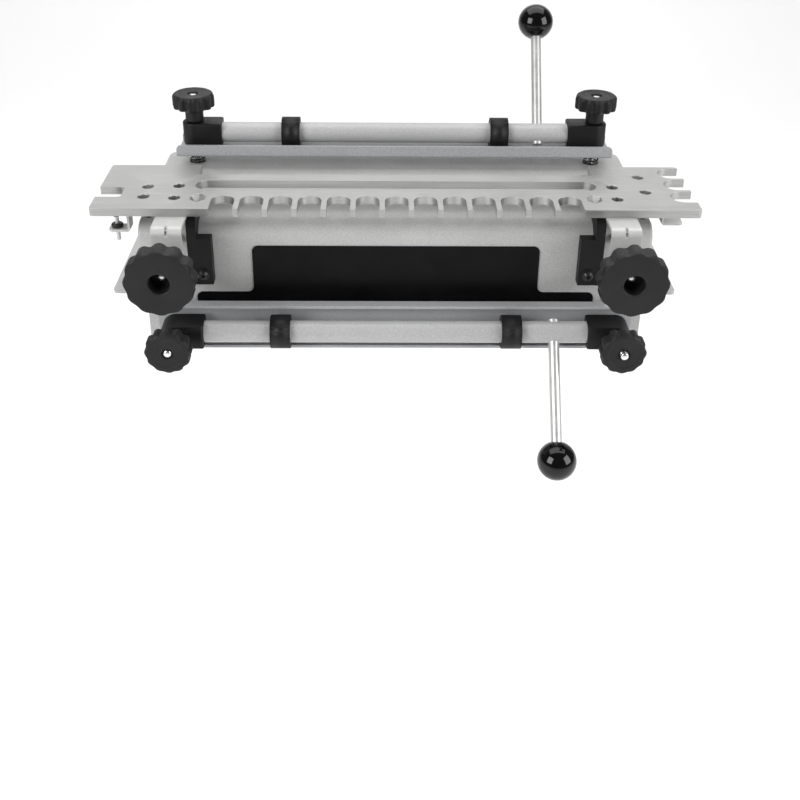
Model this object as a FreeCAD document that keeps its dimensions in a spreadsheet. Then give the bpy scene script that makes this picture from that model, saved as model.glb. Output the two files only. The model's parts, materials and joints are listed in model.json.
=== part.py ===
import FreeCAD, Part
import math
import os

import Sketcher
from FreeCAD import Placement, Rotation, Vector

# Half-blind dovetail jig: a folded steel base, a top and a front cam clamp, and a finger template on
# two slotted brackets.  Millimetres.  +X runs along the jig, -Y faces the user, +Z is up, and the
# origin is the centre of the four bench holes on the underside of the feet.

os.makedirs("parts", exist_ok=True)
doc = FreeCAD.newDocument("dovetail_jig")

SIZES = (
    # base
    ("steel_sheet", 2.5),
    ("base_half_x", 202.0),
    ("base_front_y", -84.5),
    ("base_back_y", 76.5),
    ("base_top_z", 71.1),
    ("base_bend", 14.0),
    ("base_corner", 10.0),
    ("base_edge", 2.7),
    ("skirt_bottom_z", -30.4),
    ("skirt_half_x", 199.2),
    ("foot_half_x", 231.5),
    ("foot_front_y", -64.0),
    ("foot_corner", 4.0),
    ("bench_hole_x", 217.0),
    ("bench_hole_y", 52.5),
    ("bench_hole_radius", 3.5),
    # blank plate on the front panel
    ("label_depth", 0.8),
    ("label_half_x", 113.3),
    ("label_strip_half_x", 159.0),
    ("label_bottom_z", -0.4),
    ("label_strip_top_z", 13.3),
    ("label_top_z", 54.0),
    ("label_corner", 5.0),
    # side stops
    ("stop_low_x", 143.5),
    ("stop_high_x", 154.6),
    ("stop_outer_x", 162.0),
    ("stop_front_y", -94.5),
    ("stop_back_y", -46.5),
    ("stop_bottom_z", 24.6),
    ("stop_step_z", 64.1),
    ("stop_top_z", 82.0),
    ("stop_corner", 9.0),
    ("stop_screw_x", 150.9),
    ("stop_screw_z", 33.6),
    ("stop_screw_radius", 2.0),
    ("stop_head_radius", 4.0),
    ("stop_head_rim", 1.2),
    ("stop_head", 2.7),
    ("stop_head_crown", 2.5),
    ("stop_shank", 14.8),
    ("stop_socket_radius", 1.4),
    ("stop_socket", 1.8),
    ("stop_washer", 0.8),
    ("stop_washer_radius", 5.0),
    ("stop_slot_radius", 2.4),
    ("stop_slot_length", 4.0),
    ("running_gap", 0.3),
    # clamps
    ("top_axis_y", 51.5),
    ("top_axis_z", 98.2),
    ("front_axis_y", -113.2),
    ("front_axis_z", -7.1),
    ("front_preload", 0.71),
    ("stud_x", 173.8),
    ("stud_radius", 3.175),
    ("stud_hole_radius", 3.5),
    ("thread_fit", 0.05),
    ("block_half", 10.5),
    ("block_inner_x", 150.0),
    ("block_bore_depth", 13.0),
    ("block_edge", 1.7),
    ("tube_radius", 8.65),
    ("tube_wall", 1.6),
    ("tube_half_x", 162.7),
    ("cam_x", 90.5),
    ("cam_width", 15.6),
    ("cam_radius", 13.35),
    ("cam_lift_per_radian", 2.24),
    ("cam_lift_angle", 66.6),
    ("cam_nose_angle", 80.0),
    ("cam_fall_angle", 40.0),
    ("rod_x", 124.4),
    ("rod_radius", 4.4),
    ("rod_tail", 10.2),
    ("rod_length", 103.0),
    ("ball_radius", 15.4),
    ("ball_reach", 100.5),
    ("ball_flat", 6.0),
    ("top_lever_angle", 33.4),
    ("front_lever_angle", 51.6),
    ("bar_half_x", 188.5),
    ("bar_half_width", 19.0),
    ("bar_web", 16.35),
    ("bar_tip", 5.9),
    ("bar_bend", 2.4),
    ("bar_inner_bend", 1.0),
    ("bar_end_corner", 4.0),
    ("spring_radius", 6.4),
    ("spring_wire", 0.6),
    ("spring_turns", 2.5),
    # small knobs
    ("knob_start", 10.8),
    ("knob_face", 35.2),
    ("knob_rim", 12.2),
    ("knob_radius", 18.0),
    ("knob_face_radius", 15.6),
    ("knob_bevel", 2.6),
    ("knob_back_bevel", 1.0),
    ("knob_back_radius", 17.0),
    ("knob_edge", 0.5),
    ("knob_neck_radius", 7.8),
    ("knob_scallop_radius", 3.4),
    ("knob_scallop_reach", 20.2),
    ("top_stud_end", 34.0),
    ("front_stud_left_end", 35.0),
    ("front_stud_right_end", 38.0),
    ("stud_head_radius", 7.5),
    ("stud_head", 3.0),
    ("stud_tip", 0.8),
    # template
    ("plate", 6.35),
    ("plate_top_z", 93.6),
    ("plate_half_x", 232.0),
    ("plate_front_y", -103.5),
    ("plate_back_y", -15.5),
    ("web_back_y", -35.0),
    ("wing_inner_x", 159.0),
    ("tab_inner_x", 150.3),
    ("tab_outer_x", 156.6),
    ("tab_back_y", -33.0),
    ("plate_corner", 3.0),
    ("finger_pitch", 22.225),
    ("finger_openings", 13),
    ("finger_end_y", -78.0),
    ("finger_radius", 9.0),
    ("sight_front_y", -65.7),
    ("sight_back_y", -47.8),
    ("sight_half_x", 158.3),
    ("left_slot_x", -212.5),
    ("left_slot_front_y", -81.0),
    ("left_slot_back_y", -62.1),
    ("right_slot_x", 213.3),
    ("right_slot_front_y", -77.5),
    ("right_slot_pitch", 24.0),
    ("right_slot_radius", 10.2),
    ("left_hole_x", -195.0),
    ("left_hole_back_y", -60.5),
    ("left_hole_front_y", -80.0),
    ("right_hole_x", 195.5),
    ("right_hole_back_y", -37.8),
    ("right_hole_front_y", -68.1),
    ("plate_hole_radius", 4.25),
    ("plate_hole_sink", 0.5),
    ("sink_x", 153.0),
    ("sink_y", -82.0),
    ("sink_half_x", 5.75),
    ("sink_half_y", 8.5),
    ("sink_floor", 0.3),
    ("scribe_root", 8.0),
    ("scribe_width", 0.5),
    ("scribe_depth", 0.25),
    ("left_scribe_y", -94.2),
    ("right_scribe_y", -96.8),
    # template brackets
    ("bracket_x", 171.0),
    ("bracket_half_width", 11.4),
    ("bracket_sheet", 2.8),
    ("bracket_bend", 6.0),
    ("bracket_front_y", -126.3),
    ("bracket_back_y", -48.5),
    ("bracket_tip_z", 22.6),
    ("fork_half", 4.0),
    ("fork_top_z", 66.6),
    ("dimple_half", 2.5),
    ("dimple_leg", 7.4),
    ("dimple_overlap", 0.4),
    ("bracket_screw_front_y", -82.1),
    ("bracket_screw_back_y", -58.4),
    ("bracket_screw_radius", 4.2),
    ("bracket_screw_head", 6.5),
    ("bracket_screw_rim", 1.2),
    ("bracket_screw_height", 3.2),
    ("bracket_screw_tip", 3.6),
    ("template_stud_z", 62.1),
    ("template_stud_inner_y", -79.0),
    ("template_stud_end_y", -155.5),
    ("stop_nut_radius", 6.5),
    ("stop_nut", 7.0),
    # large knobs
    ("wheel_front", 40.2),
    ("wheel_rim", 17.0),
    ("wheel_radius", 26.35),
    ("wheel_face_radius", 24.9),
    ("wheel_edge", 2.0),
    ("wheel_hub_radius", 11.5),
    ("wheel_bore_radius", 7.8),
    ("wheel_bore", 14.0),
    ("wheel_scallop_radius", 5.2),
    ("wheel_scallop_reach", 29.4),
    ("wheel_lobes", 12),
    ("knob_lobes", 12),
    # gauges under the wings
    ("gauge_y", -77.5),
    ("gauge_half_width", 6.0),
    ("gauge_sheet", 2.0),
    ("gauge_root_x", 187.0),
    ("gauge_drop_x", 209.0),
    ("gauge_end_x", 224.0),
    ("left_gauge_z", 64.8),
    ("right_gauge_z", 72.0),
    ("gauge_screw_x", -218.0),
    ("gauge_pin_radius", 1.65),
    ("gauge_pin_z", 55.6),
    ("gauge_head_radius", 6.35),
    ("gauge_head_top_z", 86.6),
    ("gauge_head_low_z", 76.0),
    ("gauge_head_rim", 2.0),
    ("gauge_tip", 0.6),
    ("gauge_nut_radius", 4.6),
    ("gauge_nut", 3.2),
    ("gauge_nut_edge", 0.8),
    ("gauge_inner_bend", 0.6),
    ("gauge_outer_bend", 2.5),
    ("gauge_fix_x", 193.0),
    ("gauge_fix_radius", 2.5),
    ("gauge_fix_head", 5.5),
    ("gauge_fix_rim", 1.0),
    ("gauge_fix_crown", 5.0),
    ("gauge_fix_tip", 10.0),
)

sheet = doc.addObject("Spreadsheet::Sheet", "Sizes")
for row, (alias, number) in enumerate(SIZES, 1):
    sheet.set("A%d" % row, alias)
    sheet.set("B%d" % row, repr(number))
    sheet.setAlias("B%d" % row, alias)
doc.recompute()


class Size:
    """A number together with the spreadsheet expression that gives it."""

    def __init__(self, value, text):
        self.value = value
        self.text = text

    def joined(self, other, sign, value):
        other_text = other.text if isinstance(other, Size) else repr(other)
        return Size(value, "(%s %s %s)" % (self.text, sign, other_text))

    def __add__(self, other):
        return self.joined(other, "+", self.value + number_of(other))

    def __sub__(self, other):
        return self.joined(other, "-", self.value - number_of(other))

    def __mul__(self, other):
        return self.joined(other, "*", self.value * number_of(other))

    def __truediv__(self, other):
        return self.joined(other, "/", self.value / number_of(other))

    def __neg__(self):
        return Size(-self.value, "(-1 * %s)" % self.text)


def number_of(size):
    return size.value if isinstance(size, Size) else size


class Named:
    """Every row of the sheet as an attribute."""


S = Named()
for alias, number in SIZES:
    setattr(S, alias, Size(number, "Sizes.%s" % alias))
ZERO = Size(0.0, "0")


# ---- features ----------------------------------------------------------------------------------

nodes = {}


def bind(obj, path, size):
    """Ties one property of an object to the sheet."""
    obj.setExpression(path, size.text if isinstance(size, Size) else repr(size))


def new_body(label, keep=True):
    body = doc.addObject("PartDesign::Body", label)
    body.Label = label
    if keep:
        nodes[label] = body
    return body


def place(obj, x=None, y=None, z=None, turn=None):
    obj.Placement = Placement(Vector(0, 0, 0), turn or Rotation())
    for letter, size in (("x", x), ("y", y), ("z", z)):
        if size is not None:
            bind(obj, "Placement.Base." + letter, size)
    return obj


def new_sketch(body, role, offset=None):
    """An empty sketch on one of the body's origin planes, moved along the plane's normal."""
    sketch = body.newObject("Sketcher::SketchObject", body.Name + "_sketch")
    plane = next(f for f in body.Origin.OriginFeatures if f.Role == role)
    sketch.AttachmentSupport = (plane, [""])
    sketch.MapMode = "FlatFace"
    if offset is not None:
        bind(sketch, "AttachmentOffset.Base.z", offset)
    return sketch


def fix(sketch, kind, where, size):
    index = sketch.addConstraint(Sketcher.Constraint(kind, *where, number_of(size)))
    bind(sketch, "Constraints[%d]" % index, size)


def fix_point(sketch, geometry, end, x, y):
    fix(sketch, "DistanceX", (-1, 1, geometry, end), x)
    fix(sketch, "DistanceY", (-1, 1, geometry, end), y)


def add_circle(sketch, x, y, radius):
    centre = Vector(number_of(x), number_of(y), 0)
    circle = sketch.addGeometry(Part.Circle(centre, Vector(0, 0, 1), number_of(radius)))
    fix_point(sketch, circle, 3, x, y)
    fix(sketch, "Radius", (circle,), radius)


def add_hexagon(sketch, x, y, radius):
    """A regular hexagon with its corners on a circle."""
    half = radius / 2
    tall = radius * 0.8660254
    add_loop(sketch, ((x + radius, y), (x + half, y + tall), (x - half, y + tall),
                      (x - radius, y), (x - half, y - tall), (x + half, y - tall)))


def add_stadium(sketch, x, y, reach, radius):
    """A slot along the sketch's x axis, its end arcs centred reach to each side of (x, y)."""
    cx, cy, r, d = (number_of(size) for size in (x, y, radius, reach))
    normal = Vector(0, 0, 1)
    right = sketch.addGeometry(Part.ArcOfCircle(
        Part.Circle(Vector(cx + d, cy, 0), normal, r), -math.pi / 2, math.pi / 2))
    left = sketch.addGeometry(Part.ArcOfCircle(
        Part.Circle(Vector(cx - d, cy, 0), normal, r), math.pi / 2, math.pi * 1.5))
    upper = sketch.addGeometry(Part.LineSegment(Vector(cx + d, cy + r, 0), Vector(cx - d, cy + r, 0)))
    lower = sketch.addGeometry(Part.LineSegment(Vector(cx - d, cy - r, 0), Vector(cx + d, cy - r, 0)))
    for first, end, second, start in ((right, 2, upper, 1), (upper, 2, left, 1),
                                      (left, 2, lower, 1), (lower, 2, right, 1)):
        sketch.addConstraint(Sketcher.Constraint("Tangent", first, end, second, start))
    fix_point(sketch, right, 3, x + reach, y)
    fix_point(sketch, left, 3, x - reach, y)
    fix(sketch, "Radius", (right,), radius)


def add_loop(sketch, corners):
    """A closed outline.  A corner is (x, y) or (x, y, radius); a radius rounds it."""
    points = [Vector(number_of(c[0]), number_of(c[1]), 0) for c in corners]
    radii = [c[2] if len(c) > 2 else None for c in corners]
    count = len(corners)
    trims = []
    for i in range(count):
        into = (points[i] - points[i - 1]).normalize()
        out = (points[(i + 1) % count] - points[i]).normalize()
        radius = number_of(radii[i]) if radii[i] is not None else 0.0
        cut = radius * math.tan(into.getAngle(out) / 2)
        trims.append((points[i] - into * cut, points[i] + out * cut, into, out, radius))
    lines = []
    for i in range(count):
        segment = Part.LineSegment(trims[i][1], trims[(i + 1) % count][0])
        lines.append(sketch.addGeometry(segment))
    for i in range(count):
        before, after = lines[i - 1], lines[i]
        start, finish, into, out, radius = trims[i]
        if not radius:
            sketch.addConstraint(Sketcher.Constraint("Coincident", before, 2, after, 1))
            fix_point(sketch, after, 1, corners[i][0], corners[i][1])
            continue
        left_turn = into.cross(out).z > 0
        side = Vector(-into.y, into.x, 0) * (radius if left_turn else -radius)
        centre = start + side
        begin, end = (start, finish) if left_turn else (finish, start)
        arc = sketch.addGeometry(Part.ArcOfCircle(
            Part.Circle(centre, Vector(0, 0, 1), radius),
            math.atan2(begin.y - centre.y, begin.x - centre.x),
            math.atan2(end.y - centre.y, end.x - centre.x)))
        near, far = (1, 2) if left_turn else (2, 1)
        sketch.addConstraint(Sketcher.Constraint("Tangent", before, 2, arc, near))
        sketch.addConstraint(Sketcher.Constraint("Tangent", arc, far, after, 1))
        fix(sketch, "Radius", (arc,), radii[i])
        mark = sketch.addGeometry(Part.Point(points[i]), True)
        sketch.addConstraint(Sketcher.Constraint("PointOnObject", mark, 1, before))
        sketch.addConstraint(Sketcher.Constraint("PointOnObject", mark, 1, after))
        fix_point(sketch, mark, 1, corners[i][0], corners[i][1])


def extrude(body, kind, sketch, length=None, symmetric=False, backward=False):
    """A Pad or a Pocket.  Without a length a Pocket goes right through."""
    feature = body.newObject("PartDesign::" + kind, body.Name + "_" + kind.lower())
    feature.Profile = sketch
    if symmetric:
        feature.SideType = "Symmetric"
    feature.Reversed = backward
    if length is None:
        feature.Type = "ThroughAll"
    else:
        bind(feature, "Length", length)
    sketch.Visibility = False
    doc.recompute()
    return feature


def pad(body, sketch, length, **how):
    return extrude(body, "Pad", sketch, length, **how)


def pocket(body, sketch, length=None, **how):
    return extrude(body, "Pocket", sketch, length, **how)


def turn(body, sketch, axis="V_Axis", cut=False):
    """A full Revolution, or a Groove, about one of the sketch's own axes."""
    kind = "Groove" if cut else "Revolution"
    feature = body.newObject("PartDesign::" + kind, body.Name + "_turned")
    feature.Profile = sketch
    feature.ReferenceAxis = (sketch, [axis])
    feature.Angle = 360.0
    doc.recompute()
    return feature


def repeat_round(body, feature, count):
    """Copies a feature around the body's own Z axis."""
    pattern = body.newObject("PartDesign::PolarPattern", body.Name + "_around")
    pattern.Originals = [feature]
    axis = next(f for f in body.Origin.OriginFeatures if f.Role == "Z_Axis")
    pattern.Axis = (axis, [""])
    pattern.Angle = 360.0
    bind(pattern, "Occurrences", count)
    body.Tip = pattern
    doc.recompute()
    return pattern


def dress(body, kind, size, test):
    """A Fillet or a Chamfer on every edge of the body so far whose middle passes the test."""
    base = body.Tip
    names = []
    for index, edge in enumerate(base.Shape.Edges, 1):
        middle = edge.valueAt((edge.FirstParameter + edge.LastParameter) / 2)
        if test(edge, middle):
            names.append("Edge%d" % index)
    feature = body.newObject("PartDesign::" + kind, body.Name + "_" + kind.lower())
    feature.Base = (base, names)
    bind(feature, "Radius" if kind == "Fillet" else "Size", size)
    doc.recompute()
    return feature


def straight(edge, direction):
    if edge.Curve.TypeId != "Part::GeomLine":
        return False
    return abs(abs(edge.Curve.Direction.dot(direction)) - 1) < 1e-6


def near(a, b):
    return abs(a - number_of(b)) < 0.01


def group(label, members):
    """Separate solids that share one node, such as a pair of identical screws."""
    compound = doc.addObject("Part::Compound", label)
    compound.Label = label
    compound.Links = members
    nodes[label] = compound
    return compound


def mirror_across_x(body, name):
    mirrored = doc.addObject("Part::Mirroring", name)
    mirrored.Source = body
    mirrored.Normal = Vector(1, 0, 0)
    mirrored.Base = Vector(0, 0, 0)
    return mirrored


X_AXIS = Vector(1, 0, 0)
Y_AXIS = Vector(0, 1, 0)
Z_AXIS = Vector(0, 0, 1)
OUTWARD = Rotation(X_AXIS, 90)  # turns a body's own +Z to face the user


# ---- base --------------------------------------------------------------------------------------

def build_base():
    """Folded sheet: top, front with its skirt below the feet, sides, back and two foot flanges."""
    body = new_body("base_shell")
    profile = new_sketch(body, "YZ_Plane")
    add_loop(profile, ((S.base_front_y, ZERO), (S.base_back_y, ZERO),
                       (S.base_back_y, S.base_top_z), (S.base_front_y, S.base_top_z)))
    pad(body, profile, S.base_half_x * 2, symmetric=True)
    dress(body, "Fillet", S.base_corner,
          lambda e, m: straight(e, Z_AXIS) and near(m.y, S.base_back_y))
    dress(body, "Fillet", S.base_bend,
          lambda e, m: straight(e, X_AXIS) and near(m.z, S.base_top_z) and near(m.y, S.base_front_y))
    dress(body, "Fillet", S.base_edge,
          lambda e, m: near(m.z, S.base_top_z) and m.y > number_of(S.base_front_y) + 30
          and (abs(m.x) > 190 or near(m.y, S.base_back_y)))
    solid = body.Tip
    open_face = next("Face%d" % (i + 1) for i, f in enumerate(solid.Shape.Faces)
                     if abs(f.CenterOfMass.z) < 0.01)
    hollow = body.newObject("PartDesign::Thickness", "base_hollow")
    hollow.Base = (solid, [open_face])
    hollow.Mode = "Skin"
    hollow.Join = "Intersection"
    hollow.Reversed = True
    bind(hollow, "Value", S.steel_sheet)
    doc.recompute()

    skirt = new_sketch(body, "YZ_Plane")
    add_loop(skirt, ((S.base_front_y, S.skirt_bottom_z), (S.base_front_y + S.steel_sheet, S.skirt_bottom_z),
                     (S.base_front_y + S.steel_sheet, S.steel_sheet), (S.base_front_y, S.steel_sheet)))
    pad(body, skirt, S.skirt_half_x * 2, symmetric=True)
    feet = new_sketch(body, "XY_Plane")
    for side in (-1, 1):
        inner = (S.base_half_x - S.steel_sheet) * side
        outer = S.foot_half_x * side
        add_loop(feet, ((inner, S.foot_front_y), (outer, S.foot_front_y, S.foot_corner),
                        (outer, -S.foot_front_y, S.foot_corner), (inner, -S.foot_front_y)))
    pad(body, feet, S.steel_sheet)

    through = new_sketch(body, "XY_Plane")
    for side in (-1, 1):
        for end in (-1, 1):
            add_circle(through, S.bench_hole_x * side, S.bench_hole_y * end, S.bench_hole_radius)
        add_circle(through, S.stud_x * side, S.top_axis_y, S.stud_radius + S.thread_fit)
    pocket(body, through, S.base_top_z * 4, symmetric=True)
    front = new_sketch(body, "XZ_Plane", -S.base_front_y)
    for side in (-1, 1):
        add_circle(front, S.stud_x * side, S.front_axis_z, S.stud_radius + S.thread_fit)
        add_circle(front, S.bracket_x * side, S.template_stud_z, S.stud_radius)
        add_circle(front, S.stop_screw_x * side, S.stop_screw_z, S.stop_screw_radius)
    pocket(body, front, S.base_bend * 2, symmetric=True)


def build_label():
    """The blank plate: a wide upper panel growing out of a full-width lower strip."""
    body = new_body("nameplate")
    sketch = new_sketch(body, "XZ_Plane", -S.base_front_y)
    half, strip, round_off = S.label_half_x, S.label_strip_half_x, S.label_corner
    add_loop(sketch, ((-strip, S.label_bottom_z), (strip, S.label_bottom_z),
                      (strip, S.label_strip_top_z, round_off), (half, S.label_strip_top_z, round_off),
                      (half, S.label_top_z, round_off), (-half, S.label_top_z, round_off),
                      (-half, S.label_strip_top_z, round_off), (-strip, S.label_strip_top_z, round_off)))
    pad(body, sketch, S.label_depth)


def build_stop(label, side):
    """Stepped side stop: the low face and the high face are half a finger pitch apart."""
    body = new_body(label)
    back = S.base_front_y - S.running_gap
    floor = S.base_top_z + S.running_gap
    rail = new_sketch(body, "YZ_Plane", S.stop_high_x * side)
    add_loop(rail, ((S.stop_front_y, S.stop_bottom_z), (back, S.stop_bottom_z),
                    (back, floor, S.base_bend + S.running_gap), (S.stop_back_y, floor),
                    (S.stop_back_y, S.stop_top_z), (S.stop_front_y, S.stop_top_z, S.stop_corner)))
    pad(body, rail, S.stop_outer_x - S.stop_high_x, backward=side < 0)
    low = new_sketch(body, "XZ_Plane", -back)
    add_loop(low, ((S.stop_low_x * side, S.stop_bottom_z), (S.stop_high_x * side, S.stop_bottom_z),
                   (S.stop_high_x * side, S.stop_step_z), (S.stop_low_x * side, S.stop_step_z)))
    pad(body, low, back - S.stop_front_y)
    slot = new_sketch(body, "XZ_Plane", -S.stop_front_y)
    add_stadium(slot, S.stop_screw_x * side, S.stop_screw_z, S.stop_slot_length / 2, S.stop_slot_radius)
    pocket(body, slot, (back - S.stop_front_y) * 3, symmetric=True)


def build_stop_screws():
    """Button-head socket screws, each with a washer, that clamp the stops to the front panel."""
    screw = new_body("stop_screw", keep=False)
    seat = S.stop_front_y - S.running_gap
    profile = new_sketch(screw, "XY_Plane")
    head, rim = S.stop_head_radius, S.stop_washer + S.stop_head_rim
    crown = S.stop_washer + S.stop_head
    add_loop(profile, ((ZERO, -S.stop_shank), (S.stop_screw_radius, -S.stop_shank),
                       (S.stop_screw_radius, S.stop_washer), (head, S.stop_washer),
                       (head, rim), (S.stop_head_crown, crown), (ZERO, crown)))
    turn(screw, profile)
    socket = new_sketch(screw, "XZ_Plane", -crown)
    add_hexagon(socket, ZERO, ZERO, S.stop_socket_radius)
    pocket(screw, socket, S.stop_socket, backward=True)
    place(screw, S.stop_screw_x, seat, S.stop_screw_z, Rotation(Z_AXIS, 180))
    group("stop_screws", [screw, mirror_across_x(screw, "stop_screw_other")])

    washer = new_body("stop_washer", keep=False)
    ring = new_sketch(washer, "XZ_Plane", -seat)
    add_circle(ring, S.stop_screw_x, S.stop_screw_z, S.stop_washer_radius)
    add_circle(ring, S.stop_screw_x, S.stop_screw_z, S.stop_screw_radius)
    pad(washer, ring, S.stop_washer)
    group("stop_washers", [washer, mirror_across_x(washer, "stop_washer_other")])


# ---- clamps ------------------------------------------------------------------------------------

class Clamp:
    """Where a cam clamp sits.  Its own +Z points away from the base, its own X lies along the jig."""

    def __init__(self, name, rotation, lever_angle, lever_sign, preload):
        self.name = name
        self.rotation = rotation
        self.lever_angle = lever_angle
        self.lever_sign = lever_sign
        self.preload = preload

    def put(self, obj, x=None, out=None, extra=None):
        """Places an object at x along the jig and out along the clamp's own +Z."""
        y = S.top_axis_y if self.name == "top" else S.front_axis_y
        z = S.top_axis_z if self.name == "top" else S.front_axis_z
        if out is not None:
            y, z = (y, z + out) if self.name == "top" else (y - out, z)
        rotation = self.rotation if extra is None else self.rotation.multiply(extra)
        return place(obj, x, y, z, rotation)

    def lever_turn(self):
        """The lever's lean away from the clamp's own +Z."""
        return Rotation(X_AXIS, -self.lever_sign * number_of(self.lever_angle))


def build_block(clamp, side):
    """End block: a square bar, rounded about its stud, bored for the cam tube."""
    body = new_body("%s_block_%s" % (clamp.name, "left" if side < 0 else "right"))
    inner = S.block_inner_x - S.stud_x
    half = S.block_half
    outline = new_sketch(body, "XY_Plane")
    add_loop(outline, ((inner, -half), (half, -half, half - 0.01), (half, half, half - 0.01), (inner, half)))
    pad(body, outline, half * 2, symmetric=True)
    dress(body, "Fillet", S.block_edge,
          lambda e, m: abs(abs(m.z) - number_of(half)) < 0.01 or near(m.x, inner))
    bore = new_sketch(body, "YZ_Plane", inner)
    add_circle(bore, ZERO, ZERO, S.tube_radius + S.thread_fit)
    pocket(body, bore, S.block_bore_depth, backward=True)
    stud = new_sketch(body, "XY_Plane")
    add_circle(stud, ZERO, ZERO, S.stud_hole_radius)
    pocket(body, stud, half * 4, symmetric=True)
    clamp.put(body, S.stud_x * side, extra=Rotation(Z_AXIS, 0 if side > 0 else 180))


def build_tube(clamp):
    """Cam tube, cross-drilled for the lever rod."""
    body = new_body("%s_cam_tube" % clamp.name)
    ring = new_sketch(body, "YZ_Plane")
    add_circle(ring, ZERO, ZERO, S.tube_radius)
    add_circle(ring, ZERO, ZERO, S.tube_radius - S.tube_wall)
    pad(body, ring, S.tube_half_x * 2, symmetric=True)
    cross = new_sketch(body, "XY_Plane")
    add_circle(cross, S.rod_x, ZERO, S.rod_radius)
    pocket(body, cross, S.tube_radius * 4, symmetric=True)
    clamp.put(body, extra=clamp.lever_turn())


def cam_outline(sign):
    """Points of the cam's edge.  Angles run from the lever towards the way it locks."""
    base = S.cam_radius.value
    lift = S.cam_lift_per_radian.value
    nose = S.cam_nose_angle.value
    rise_end = nose + S.cam_lift_angle.value
    fall_start = S.cam_fall_angle.value
    peak = base + lift * math.radians(S.cam_lift_angle.value)
    points = []
    for degrees in range(0, 360, 5):
        if nose <= degrees <= rise_end:
            radius = base + lift * math.radians(rise_end - degrees)
        elif fall_start < degrees < nose:
            share = (degrees - fall_start) / (nose - fall_start)
            radius = base + (peak - base) * share * share * (3 - 2 * share)
        else:
            radius = base
        angle = math.radians(degrees)
        points.append(Vector(0, sign * radius * math.sin(angle), radius * math.cos(angle)))
    return points


def build_cam(clamp, side):
    """Cam ring: a spiral edge that lifts the bar evenly, on the round tube."""
    edge = Part.BSplineCurve()
    edge.interpolate(cam_outline(clamp.lever_sign), PeriodicFlag=True)
    width = S.cam_width.value
    start = Vector(-width / 2, 0, 0)
    solid = Part.Face(Part.Wire(edge.toShape())).extrude(X_AXIS * width)
    solid.translate(start)
    solid = solid.cut(Part.makeCylinder(S.tube_radius.value, width, start, X_AXIS))
    label = "%s_cam_%s" % (clamp.name, "left" if side < 0 else "right")
    cam = doc.addObject("Part::Feature", label)
    cam.Label = label
    cam.Shape = solid
    clamp.put(cam, S.cam_x * side, extra=clamp.lever_turn())
    nodes[label] = cam


def build_lever(clamp):
    """Lever rod through the tube, with a ball knob on its end."""
    lean = clamp.lever_turn()
    label = "%s_lever_rod" % clamp.name
    rod = doc.addObject("Part::Cylinder", label)
    rod.Label = label
    bind(rod, "Radius", S.rod_radius)
    bind(rod, "Height", S.rod_length)
    tail = clamp.rotation.multiply(lean).multVec(Vector(0, 0, -1))
    axis_y = S.top_axis_y if clamp.name == "top" else S.front_axis_y
    axis_z = S.top_axis_z if clamp.name == "top" else S.front_axis_z
    place(rod, S.rod_x, axis_y + S.rod_tail * tail.y, axis_z + S.rod_tail * tail.z,
          clamp.rotation.multiply(lean))
    nodes[label] = rod

    ball = new_body("%s_lever_ball" % clamp.name)
    half = new_sketch(ball, "XZ_Plane")
    reach = S.ball_reach
    radius = S.ball_radius.value
    wide = S.ball_flat.value
    flat = math.sqrt(radius ** 2 - wide ** 2)
    arc = half.addGeometry(Part.ArcOfCircle(
        Part.Circle(Vector(0, reach.value, 0), Z_AXIS, radius),
        math.atan2(-flat, wide), math.pi / 2))
    axis_line = half.addGeometry(Part.LineSegment(
        Vector(0, reach.value + radius, 0), Vector(0, reach.value - flat, 0)))
    flat_line = half.addGeometry(Part.LineSegment(
        Vector(0, reach.value - flat, 0), Vector(wide, reach.value - flat, 0)))
    half.addConstraint(Sketcher.Constraint("Coincident", arc, 2, axis_line, 1))
    half.addConstraint(Sketcher.Constraint("Coincident", axis_line, 2, flat_line, 1))
    half.addConstraint(Sketcher.Constraint("Coincident", flat_line, 2, arc, 1))
    half.addConstraint(Sketcher.Constraint("Horizontal", flat_line))
    half.addConstraint(Sketcher.Constraint("Vertical", axis_line))
    fix_point(half, arc, 3, ZERO, reach)
    fix(half, "Radius", (arc,), S.ball_radius)
    fix(half, "DistanceX", (-1, 1, arc, 1), S.ball_flat)
    turn(ball, half)
    socket = new_sketch(ball, "XY_Plane", reach - S.ball_radius - 1)
    add_circle(socket, ZERO, ZERO, S.rod_radius)
    pocket(ball, socket, S.rod_length - S.rod_tail - reach + S.ball_radius + 1, backward=True)
    clamp.put(ball, S.rod_x, extra=lean)


def build_bar(clamp):
    """Channel-section clamp bar, open away from the base, drilled for the studs."""
    body = new_body("%s_clamp_bar" % clamp.name)
    wide, web, tip, wall = S.bar_half_width, -S.bar_web, -S.bar_tip, S.steel_sheet
    inside = S.bar_inner_bend
    profile = new_sketch(body, "YZ_Plane")
    add_loop(profile, ((-wide, web, S.bar_bend), (wide, web, S.bar_bend), (wide, tip), (wide - wall, tip),
                       (wide - wall, web + wall, inside), (wall - wide, web + wall, inside),
                       (wall - wide, tip), (-wide, tip)))
    pad(body, profile, S.bar_half_x * 2, symmetric=True)
    dress(body, "Fillet", S.bar_end_corner, lambda e, m: straight(e, Y_AXIS) and near(m.z, tip))
    holes = new_sketch(body, "XY_Plane")
    for side in (-1, 1):
        add_circle(holes, S.stud_x * side, ZERO, S.stud_hole_radius)
    pocket(body, holes, S.bar_web * 4, symmetric=True)
    clamp.put(body, out=-clamp.preload)


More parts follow.
